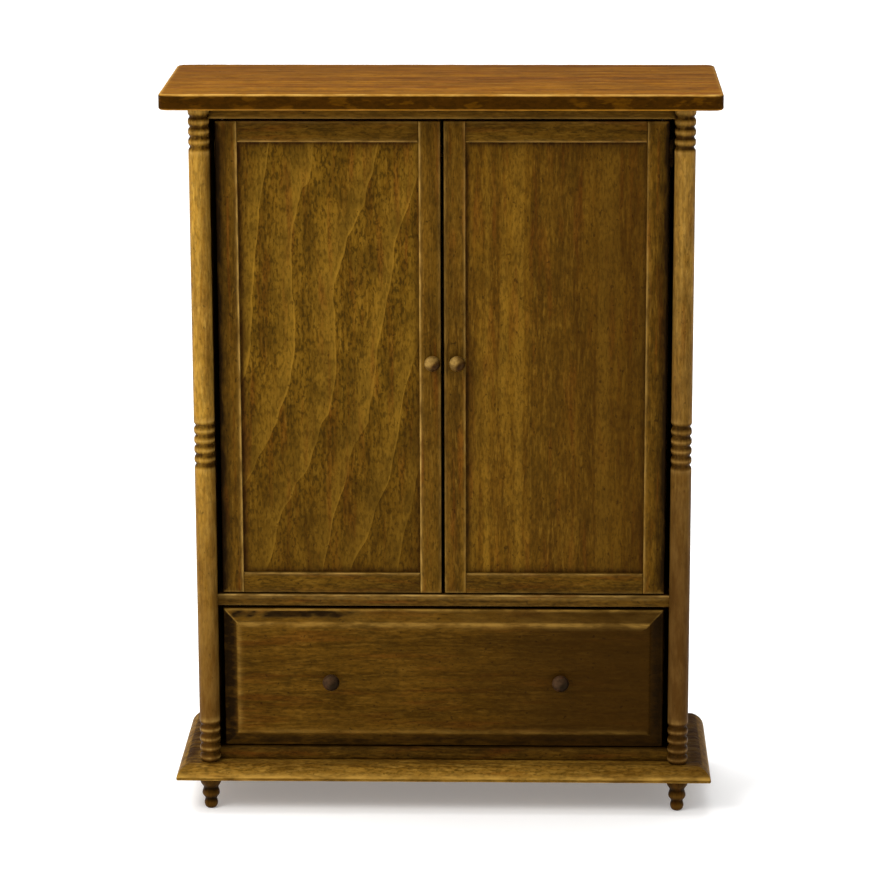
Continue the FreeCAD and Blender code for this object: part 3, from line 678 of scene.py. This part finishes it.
def bevel_grime(x, y, z):
    """Black grime left in patches under the lip, along the left part of the drawer front's upper bevel."""
    left_end, fading, right_end = -51.0, -30.0, -18.0
    under_lip = DRAWER_TOP_Z - 2.2 <= z <= DRAWER_TOP_Z - 0.6
    if not under_lip or not left_end <= x <= right_end:
        return 0.0
    patchy = 0.5 + 0.5 * noise.noise(Vector((x / 1.8, 0.4, z / 2.5)))
    return max(0.0, patchy - 0.25) * 5.6 * ramp(x, right_end, fading)


# From one groove to the next, as shares of the pitch: (along, fullness, wear and highlight, stain and shade).
RING = ((0.08, 0.16, 0.0, 1.0), (0.15, 0.46, 0.0, 0.95), (0.24, 0.78, 0.0, 0.65), (0.35, 0.95, 0.1, 0.3),
        (0.5, 1.0, 0.4, 0.12), (0.65, 0.95, 0.1, 0.3), (0.76, 0.78, 0.0, 0.65), (0.85, 0.46, 0.0, 0.95),
        (0.92, 0.16, 0.0, 1.0))


def column_rows(height, radius):
    """A shaft with groups of rings: each groove is narrow and dark, each ring between them full."""
    def along_ring(start, shares, pitch):
        return [(start + part * pitch, radius - GROOVE_DEPTH * (1 - full), wear_and_highlight, stain_and_shade)
                for part, full, wear_and_highlight, stain_and_shade in shares]

    half_ring = RING[:5]
    rows = [(0.0, 0.0, 0.0, 0.0), (0.0, radius - GROOVE_DEPTH, 0.0, 0.8)]
    last = 0.0
    for start, count in GROOVE_GROUPS:
        if last > 0.0:
            rows += along_ring(last, half_ring, GROOVE_PITCH)
            shaft_start, shaft_end = last + GROOVE_PITCH, start - GROOVE_PITCH
            for i in range(SHAFT_STEPS + 1):
                along = shaft_start + (shaft_end - shaft_start) * i / SHAFT_STEPS
                wave = 0.5 + 0.5 * noise.noise(Vector((along / SHAFT_WAVE, 0.3, 0.7)))
                uneven = SHAFT_UNEVEN * wave
                rows.append((along, radius - uneven, 0.12, 0.0))
            rows += along_ring(start, half_ring, -GROOVE_PITCH)[::-1]
        else:
            rows += along_ring(0.0, RING, start)
        for k in range(count):
            groove = start + k * GROOVE_PITCH
            rows.append((groove, radius - GROOVE_DEPTH, 0.0, 1.0))
            if k < count - 1:
                rows += along_ring(groove, RING, GROOVE_PITCH)
            last = groove
    rows += along_ring(last, half_ring, GROOVE_PITCH)
    rows += [(last + GROOVE_PITCH, radius, 0.1, 0.0), (height - 0.4, radius, 0.0, 0.3),
             (height, radius, 0.0, 0.8), (height, 0.0, 0.0, 0.8)]
    return rows


# A foot's turning, from the floor up: (height, radius, wear and highlight, stain and shade).
FOOT_ROWS = [
    (0.0, 0.75, 0.2, 0.0), (0.25, 1.22, 0.3, 0.0), (0.75, 1.53, 0.5, 0.0), (1.45, 1.65, 0.6, 0.0),
    (2.05, 1.52, 0.1, 0.3), (2.5, 1.42, 0.0, 1.0), (2.95, 1.66, 0.0, 0.6), (3.4, 2.0, 0.4, 0.1),
    (3.95, 2.13, 0.7, 0.0), (4.6, 2.0, 0.3, 0.1), (5.0, 1.86, 0.0, 0.6), (5.35, 1.8, 0.0, 1.0),
    (5.8, 2.02, 0.1, 0.4), (6.5, 2.45, 0.4, 0.0), (7.4, 2.72, 0.3, 0.0), (FOOT_HEIGHT, 2.85, 0.2, 0.2)]


# A knob, a flattened ball on a flared neck: (share of its reach, share of its radius, wear and highlight,
# stain and shade).
KNOB_ROWS = ((0.0, 0.6, 0.0, 1.0), (0.09, 0.545, 0.0, 0.9), (0.16, 0.52, 0.0, 0.7), (0.24, 0.62, 0.0, 0.3),
             (0.33, 0.82, 0.0, 0.1), (0.43, 0.95, 0.1, 0.0), (0.55, 1.0, 0.3, 0.0), (0.68, 0.965, 0.4, 0.0),
             (0.80, 0.87, 0.4, 0.0), (0.89, 0.71, 0.4, 0.0), (0.955, 0.48, 0.4, 0.0), (0.99, 0.24, 0.4, 0.0),
             (1.0, 0.0, 0.4, 0.0))


def knob_rows(radius, reach):
    """A knob's rows, from inside the wood behind it out to the tip."""
    rows = [(-0.35, radius * 0.62, 0.0, 1.0)]
    return rows + [(reach * part, radius * share, wear_and_highlight, stain_and_shade) for part, share, wear_and_highlight, stain_and_shade in KNOB_ROWS]


def knob_highlight_and_shade(s, t):
    """A knob's painted highlight on the upper left and painted shade on the lower right."""
    lean = 0.6 * t - 0.8 * s
    return 0.7 * lean, 1.3 * max(0.0, -lean)


def inner_side_shade(inward, amount):
    """Painted shade on the side of a column that faces the doors, inward being 1 if that is to its right."""
    return lambda s, t: (0.0, amount * ramp(inward * s, 0.25, 1.0))


# ---------------------------------------------------------------- building
def mirrored(side, weights):
    """Side weights given for the left piece, as (inner, top, outer, bottom), for either side."""
    inner, top, outer, bottom = weights
    return weights if side == "left" else (outer, top, inner, bottom)


def make_case():
    # The top board darkens towards the back as painted shade.
    top = wood("top_board_stain", "X", (102, 58, 5), (137, 87, 10), (166, 112, 18), (200, 158, 80),
               dirt_and_shade=(47, 26, 2), red=(122, 60, 4), red_amount=0.5, fleck=0.2, mottle=0.3, pores=0.25,
               shine=0.01, shade_gradient=("Y", -14.0, 26.0, 0.3), bump=0.2, straight=2.4)
    board("top_board", 2, top, radius=0.5, corner=2.2, sides=(0.4, 0.1, 0.8, 0.85), faces=(0.3, 1.0),
          nick=0.10, edge_stain=1.5)
    # The base board darkens towards its right end as painted shade.
    base = wood("base_board_stain", "X", (98, 66, 16), (130, 94, 30), (156, 120, 50), (172, 132, 58),
                dirt_and_shade=(46, 26, 2), fleck=0.5, mottle=0.4, shine=0.02, shade_gradient=("X", 20.0, 64.0, 0.35))
    low, high = extent("base_board")
    half = (high.y - low.y) / 2
    board("base_board", 2, base, corner=0.35, sides=(0.9, 0.2, 0.9, 1.0), stains_and_shade=(0.6, 0.2, 0.6, 0.8),
          nick=0.10, rows=base_rows(half), extra=base_stain_and_contact_shade)

    upright = wood("case_side_stain", "Z", (82, 56, 18), (110, 78, 28), (134, 98, 42), (150, 114, 56))
    level = wood("case_rail_stain", "X", (60, 38, 6), (84, 56, 12), (104, 74, 22), (178, 142, 76),
                 fleck=0.4, red_amount=0.4)
    for side in SIDES:
        board(side + "_side_panel", 0, upright, radius=0.15, nick=0.04, stains_and_shade=(0.4, 0.6, 0.8, 0.6))
    back = wood("back_stain", "Z", (98, 70, 30), (126, 94, 44), (148, 114, 60), (160, 126, 74),
                gloss=0.6, fleck=0.2, pores=0.55, mottle=0.4)
    board("back_panel", 1, back, radius=0.12, nick=0.03, stains_and_shade=(0.5, 0.5, 0.5, 0.5))
    top_of_floor = extent("case_floor")[1].z
    # The case floor's front is darkest at its top: painted shade under the drawer.
    board("case_floor", 2, level, radius=0.2, sides=(0.0, 0.0, 0.0, 0.1), faces=(0.1, 0.2),
          stains_and_shade=(0.9, 0.3, 0.9, 0.0), extra=lambda x, y, z: 0.7 * math.exp((z - top_of_floor) / 0.6))
    board("wardrobe_floor", 2, level, radius=0.42, sides=(0.0, 0.0, 0.0, 1.2), faces=(0.15, 1.0),
          stains_and_shade=(0.9, 0.3, 0.9, 0.0), nick=0.22)
    frieze = wood("frieze_stain", "X", (66, 43, 7), (90, 61, 13), (110, 79, 24), (140, 106, 48))
    # The rail's ends are stained darker, and its top under the top board is darkened partly as painted shade.
    board("top_rail", 1, frieze, radius=0.3, sides=(0.0, 0.0, 0.0, 0.6), faces=(0.3, 1.0),
          stains_and_shade=(0.8, 0.6, 0.8, 0.0))


def make_columns():
    # Both columns darken towards the bottom as painted shade, and the right column's wood is a darker copy of
    # the left's: painted shade on the side away from the light.
    left = wood("left_column_stain", "Z", (124, 85, 22), (160, 117, 36), (186, 145, 60), (196, 156, 80),
                dirt_and_shade=(52, 32, 5), fleck=0.35, mottle=0.35, pores=0.3, shade_gradient=("Z", 110.0, 14.0, 0.95))
    right = wood("right_column_shaded_stain", "Z", (106, 73, 20), (138, 101, 36), (162, 125, 55), (174, 134, 70),
                 dirt_and_shade=(44, 26, 4), fleck=0.35, mottle=0.35, pores=0.3, shade_gradient=("Z", 140.0, 45.0, 1.0))
    for side, honey, column_shade in (("left", left, inner_side_shade(1.0, 0.6)), ("right", right, inner_side_shade(-1.0, 0.35))):
        low, high = extent(side + "_column")
        radius = (high.x - low.x) / 2
        start = ((low.x + high.x) / 2, low.y + radius, low.z)
        lathe(side + "_column", honey, column_rows(high.z - low.z, radius), start, (0, 0, 1),
              segments=48, flat=CASE_FRONT_Y - start[1], lit_and_shaded=column_shade)


def make_feet():
    dark = wood("foot_stain", "Z", (42, 23, 2), (57, 34, 4), (74, 48, 10), (98, 67, 22),
                dirt_and_shade=(20, 10, 1), fleck=0.25, gloss=0.4)
    rows = [(0.0, 0.0, 0.0, 0.0)] + smooth_rows(FOOT_ROWS, 4) + [(FOOT_HEIGHT, 0.0, 0.0, 0.0)]
    for depth in ("front", "back"):
        for side in SIDES:
            node = f"{depth}_{side}_foot"
            low, high = extent(node)
            start = ((low.x + high.x) / 2, (low.y + high.y) / 2, 0.0)
            lathe(node, dark, rows, start, (0, 0, 1))


def make_hanging_rail():
    plain = wood("rail_stain", "X", (110, 78, 34), (140, 104, 50), (164, 128, 70), (170, 134, 80), gloss=0.55)
    low, high = extent("hanging_rail")
    radius = (high.z - low.z) / 2
    length = high.x - low.x
    start = (low.x, (low.y + high.y) / 2, (low.z + high.z) / 2)
    rows = [(0.0, 0.0, 0.0, 0.0), (0.0, radius, 0.0, 0.8), (RAIL_STAINED, radius, 0.0, 0.5)]
    for i in range(RAIL_STEPS + 1):
        rows.append((RAIL_END + (length - 2 * RAIL_END) * i / RAIL_STEPS, radius, 0.15, 0.0))
    rows += [(length - RAIL_STAINED, radius, 0.0, 0.5), (length, radius, 0.0, 0.8), (length, 0.0, 0.0, 0.0)]
    lathe("hanging_rail", plain, rows, start, (1, 0, 0), segments=32)
    for side in SIDES:
        board(side + "_rail_socket", 0, plain, radius=0.3, corner=0.6, nick=0.03, sides=(0.4, 0.4, 0.4, 0.4))


def make_knob(node, material, face):
    """A knob that stands on the front of the node `face`."""
    low, high = extent(node)
    front = extent(face)[0].y
    start = ((low.x + high.x) / 2, front, (low.z + high.z) / 2)
    rows = knob_rows((high.z - low.z) / 2, front - low.y)
    lathe(node, material, rows, start, (0, -1, 0), lit_and_shaded=knob_highlight_and_shade)


def door_panel_woods():
    # Painted shade: the left panel darkens towards the bottom and the right panel towards its right side.
    left = wood("left_panel_stain", "Z", (82, 54, 7), (104, 73, 14), (128, 94, 26), (140, 104, 40),
                dirt_and_shade=(40, 19, 3), fleck=0.55, mottle=0.5, red_amount=0.35, pores=0.2, contours=True,
                shade_gradient=("Z", 120.0, 50.0, 0.45))
    right = wood("right_panel_stain", "Z", (80, 51, 8), (106, 73, 15), (126, 91, 24), (140, 104, 40),
                 dirt_and_shade=(36, 18, 3), fleck=0.4, mottle=0.35, red_amount=0.3, pores=0.3, stripes=0.5,
                 shade_gradient=("X", 10.0, 46.0, 0.55))
    return {"left": left, "right": right}


def make_doors():
    upright = wood("door_stile_stain", "Z", (70, 45, 7), (97, 66, 14), (118, 85, 25), (172, 136, 68),
                   red=(104, 52, 10), red_amount=0.45, fleck=0.35)
    level = wood("door_rail_stain", "X", (68, 44, 7), (92, 63, 13), (112, 81, 24), (166, 130, 66),
                 red=(100, 50, 10), red_amount=0.35, fleck=0.45)
    panels = door_panel_woods()
    knob = wood("door_knob_stain", "Y", (56, 34, 7), (74, 48, 12), (92, 63, 19), (150, 118, 60),
                dirt_and_shade=(30, 13, 2), fleck=0.1, mottle=0.15, gloss=0.3, shine=0.12, bump=0.2)
    low, high = extent("left_door_panel")
    half = (high.x - low.x) / 2
    for side, rubbed_and_highlit in (("left", 1.0), ("right", 0.5)):
        door = side + "_door_"
        inner_edge = 0.3 + rubbed_and_highlit / 2
        # The hinge stile's outer edge is darkened: painted shade beside the column.
        board(door + "hinge_stile", 1, upright, radius=0.25, sides=mirrored(side, (rubbed_and_highlit, 0.2, 0.0, 0.3)),
              faces=(0.3, 1.0), stains_and_shade=mirrored(side, (0.0, 0.1, 1.5, 0.3)), nick=0.08)
        board(door + "meeting_stile", 1, upright, radius=0.25, sides=mirrored(side, (0.25, 0.2, rubbed_and_highlit, 0.3)),
              faces=(0.3, 1.0), stains_and_shade=mirrored(side, (0.3, 0.1, 0.0, 0.3)), nick=0.08)
        board(door + "top_rail", 1, level, radius=0.22, sides=(0.0, 0.25, 0.0, inner_edge),
              faces=(0.3, 1.0), stains_and_shade=(0.3, 0.0, 0.3, 0.0), nick=0.05, shrink=(FRAME_TONGUE, 0.0))
        board(door + "bottom_rail", 1, level, radius=0.22, sides=(0.0, inner_edge, 0.0, 0.2),
              faces=(0.3, 1.0), stains_and_shade=(0.3, 0.0, 0.3, 0.4), nick=0.05, shrink=(FRAME_TONGUE, 0.0))
        # Stain and painted shade round the opening, strongest at the top and left where the frame's shadow
        # falls.
        board(door + "panel", 1, panels[side], corner=0.1, nick=0.0, stains_and_shade=(0.55, 1.0, 0.95, 0.7),
              rows=panel_rows(half))
        make_knob(door + "knob", knob, door + "meeting_stile")


def make_drawer():
    # Painted shade: the drawer front darkens towards the right, and its left, right and lower bevels and lip
    # are darkened where they face away from the light.
    face = wood("drawer_front_stain", "X", (66, 42, 5), (90, 60, 12), (110, 77, 22), (170, 130, 58),
                dirt_and_shade=(24, 13, 3), red=(96, 50, 10), red_amount=0.35, fleck=0.3, mottle=0.35,
                shade_gradient=("X", -25.0, 44.0, 0.82))
    low, high = extent("drawer_front")
    half = (high.z - low.z) / 2
    board("drawer_front", 1, face, corner=0.2, sides=drawer_wear_and_highlight, stains_and_shade=(1.25, 0.0, 1.35, 0.9),
          nick=0.07, rows=drawer_rows(half), extra=bevel_grime, mitres=(0.0, 0.3, 0.75, 0.0))
    across, lengthwise = [
        wood(name, along, (116, 84, 40), (146, 112, 58), (168, 134, 78), (176, 142, 88),
             gloss=0.6, fleck=0.15)
        for name, along in (("drawer_box_stain", "X"), ("drawer_side_stain", "Y"))]
    for side in SIDES:
        board(f"drawer_{side}_side", 0, lengthwise, radius=0.2, nick=0.05, stains_and_shade=(0.3, 0.1, 0.3, 0.4))
    board("drawer_back", 1, across, radius=0.2, nick=0.05, stains_and_shade=(0.3, 0.1, 0.3, 0.4))
    board("drawer_floor", 2, lengthwise, radius=0.1, nick=0.0, sides=(0.0, 0.0, 0.0, 0.0),
          stains_and_shade=(0.6, 0.6, 0.6, 0.6))
    dark = wood("drawer_knob_stain", "Y", (26, 16, 8), (36, 23, 13), (48, 33, 21), (66, 46, 30),
                dirt_and_shade=(18, 9, 4), fleck=0.1, mottle=0.15, gloss=0.4, shine=0.12, bump=0.2)
    for side in SIDES:
        make_knob(f"drawer_{side}_knob", dark, "drawer_front")


def make_pins():
    wire = steel("pin_wire")
    for side in SIDES:
        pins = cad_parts[side + "_door_hinge_pins"]
        pins.data.materials.clear()
        pins.data.materials.append(wire)


# ---------------------------------------------------------------- camera, floor and light
def make_camera():
    azimuth, elevation, roll = (math.radians(v) for v in (CAMERA_AZIMUTH, CAMERA_ELEVATION, CAMERA_ROLL))
    back = Vector((math.sin(azimuth) * math.cos(elevation), -math.cos(azimuth) * math.cos(elevation),
                   math.sin(elevation)))
    level = Vector((math.cos(azimuth), math.sin(azimuth), 0.0))
    above = back.cross(level)
    right = level * math.cos(roll) + above * math.sin(roll)
    up = above * math.cos(roll) - level * math.sin(roll)
    camera = bpy.data.objects.new("camera", bpy.data.cameras.new("camera"))
    camera.data.lens = CAMERA_LENS
    camera.data.sensor_width = 36.0
    camera.data.clip_start = 0.02
    camera.data.clip_end = 20.0
    place = (Vector(CAMERA_TARGET) + back * CAMERA_DISTANCE) * MM
    turn = Matrix((right, up, back)).transposed().to_4x4()
    camera.matrix_world = Matrix.Translation(place) @ turn
    bpy.context.scene.collection.objects.link(camera)
    bpy.context.scene.camera = camera


def make_floor():
    mesh = bpy.data.meshes.new("floor")
    work = bmesh.new()
    bmesh.ops.create_grid(work, x_segments=12, y_segments=12, size=FLOOR_HALF_WIDTH)
    work.to_mesh(mesh)
    work.free()
    mesh.materials.append(floor_material())
    floor = bpy.data.objects.new("floor", mesh)
    bpy.context.scene.collection.objects.link(floor)


def make_sky():
    """A white studio that is brighter above than at the horizon."""
    world = bpy.data.worlds.new("studio")
    world.use_nodes = True
    nodes, links = world.node_tree.nodes, world.node_tree.links
    background = nodes["Background"]
    background.inputs["Color"].default_value = (1.0, 1.0, 1.0, 1.0)
    sky = nodes.new("ShaderNodeTexCoord")
    split = nodes.new("ShaderNodeSeparateXYZ")
    rise = nodes.new("ShaderNodeMapRange")
    rise.interpolation_type = "SMOOTHSTEP"
    horizon, above = SKY_STRENGTHS
    for name, number in (("From Min", 0.0), ("From Max", SKY_TOP), ("To Min", horizon), ("To Max", above)):
        rise.inputs[name].default_value = number
    links.new(sky.outputs["Generated"], split.inputs[0])
    links.new(split.outputs["Z"], rise.inputs["Value"])
    links.new(rise.outputs["Result"], background.inputs["Strength"])
    bpy.context.scene.world = world


def make_key_light():
    """A small soft light from the upper left front."""
    light = bpy.data.lights.new("key", "AREA")
    light.shape = "SQUARE"
    light.size = KEY_SIZE
    light.energy = KEY_WATTS
    light.color = KEY_COLOUR
    holder = bpy.data.objects.new("key", light)
    holder.location = KEY_PLACE
    holder.visible_camera = False
    aim = Vector(LIGHT_AIM) - Vector(KEY_PLACE)
    holder.rotation_euler = aim.to_track_quat("-Z", "Y").to_euler()
    bpy.context.scene.collection.objects.link(holder)


def make_overhead_light():
    """A very wide, soft light from almost straight above."""
    light = bpy.data.lights.new("overhead", "SUN")
    light.energy = OVERHEAD_STRENGTH
    light.angle = OVERHEAD_SPREAD
    holder = bpy.data.objects.new("overhead", light)
    holder.rotation_euler = OVERHEAD_TILT
    bpy.context.scene.collection.objects.link(holder)


def make_light():
    make_sky()
    make_key_light()
    make_overhead_light()
    bpy.context.scene.view_settings.view_transform = "Standard"
    bpy.context.scene.view_settings.look = "None"


make_camera()
make_floor()
make_light()
make_case()
make_columns()
make_feet()
make_hanging_rail()
make_doors()
make_drawer()
make_pins()
